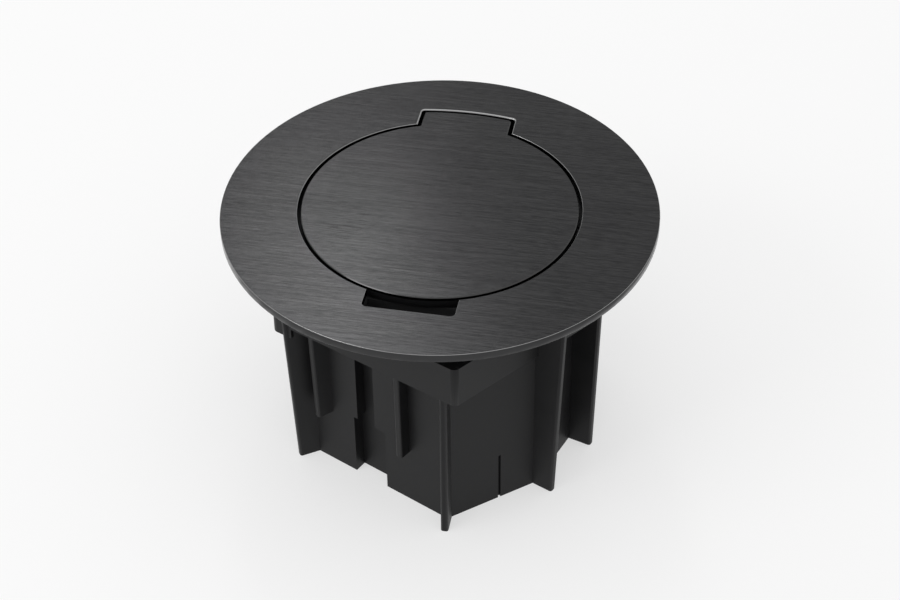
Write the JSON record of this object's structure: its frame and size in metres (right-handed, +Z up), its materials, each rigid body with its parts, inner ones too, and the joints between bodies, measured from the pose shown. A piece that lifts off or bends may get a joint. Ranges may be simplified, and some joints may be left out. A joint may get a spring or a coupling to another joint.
{
  "type": "floor socket box",
  "caption": "Round floor socket box: flat ring cover with a hinged tabbed lid and finger notch over a ribbed moulded box that holds a power socket and a data outlet.",
  "frame": {"origin": "On the axis of the round cover, in the plane of the box's underside.", "axes": "+Z up through the cover, +Y from the centre towards the lid's hinge tab, +X along the hinge."},
  "size_m": [0.18, 0.18, 0.11],
  "materials": {
    "brushed_cover": "black coated metal, brushed in one direction",
    "black_moulding": "matte black moulded plastic",
    "module_plastic": "satin dark grey moulded plastic",
    "grey_moulding": "plain grey moulded plastic",
    "zinc_steel": "zinc-plated steel",
    "brass": "plain brass",
    "foam_rubber": "closed-cell black foam",
    "soft_rubber": "matte black rubber"
  },
  "bodies": {
    "base": {"cover_ring": "brushed_cover", "ring_nuts": "zinc_steel", "floor_gasket": "foam_rubber", "hinge_pin": "zinc_steel", "hinge_bracket": "zinc_steel", "bracket_screws": "zinc_steel", "trim_frame": "black_moulding", "lid_bumpers": "soft_rubber", "frame_screws": "zinc_steel", "housing": "black_moulding", "blanking_plug": "black_moulding", "cable_clamp": "grey_moulding", "clamp_screws": "zinc_steel", "earth_terminal": "brass", "earth_screws": "zinc_steel", "insert_plate": "zinc_steel", "insert_screws": "zinc_steel", "well_liner": "black_moulding", "socket_front": "module_plastic", "socket_base": "grey_moulding", "socket_contacts": "brass", "terminal_screws": "zinc_steel", "earth_contact": "zinc_steel", "data_front": "module_plastic", "data_jack_1": "grey_moulding", "data_jack_2": "grey_moulding"},
    "lid": {"lid_plate": "brushed_cover", "lid_carrier": "black_moulding", "lid_nuts": "zinc_steel"},
    "shutter": {"socket_shutter": "grey_moulding"},
    "flap_1": {"data_flap_1": "module_plastic"},
    "flap_2": {"data_flap_2": "module_plastic"}
  },
  "joints": [
    {"name": "lid_hinge", "type": "hinge", "parent": "base", "child": "lid", "pos_m": [0, 0.0586, 0.106], "axis": [-1, 0, 0], "range_deg": [0, 95]},
    {"name": "shutter_slide", "type": "slide", "parent": "base", "child": "shutter", "axis": [0, 1, 0], "range_m": [0, 0.0058], "stiffness_N_per_m": 40},
    {"name": "flap_1_hinge", "type": "hinge", "parent": "base", "child": "flap_1", "pos_m": [0.0225, -0.0045, 0.0615], "axis": [-1, 0, 0], "range_deg": [0, 100]},
    {"name": "flap_2_hinge", "type": "hinge", "parent": "base", "child": "flap_2", "pos_m": [0.0225, 0.0175, 0.0615], "axis": [-1, 0, 0], "range_deg": [0, 100]}
  ]
}
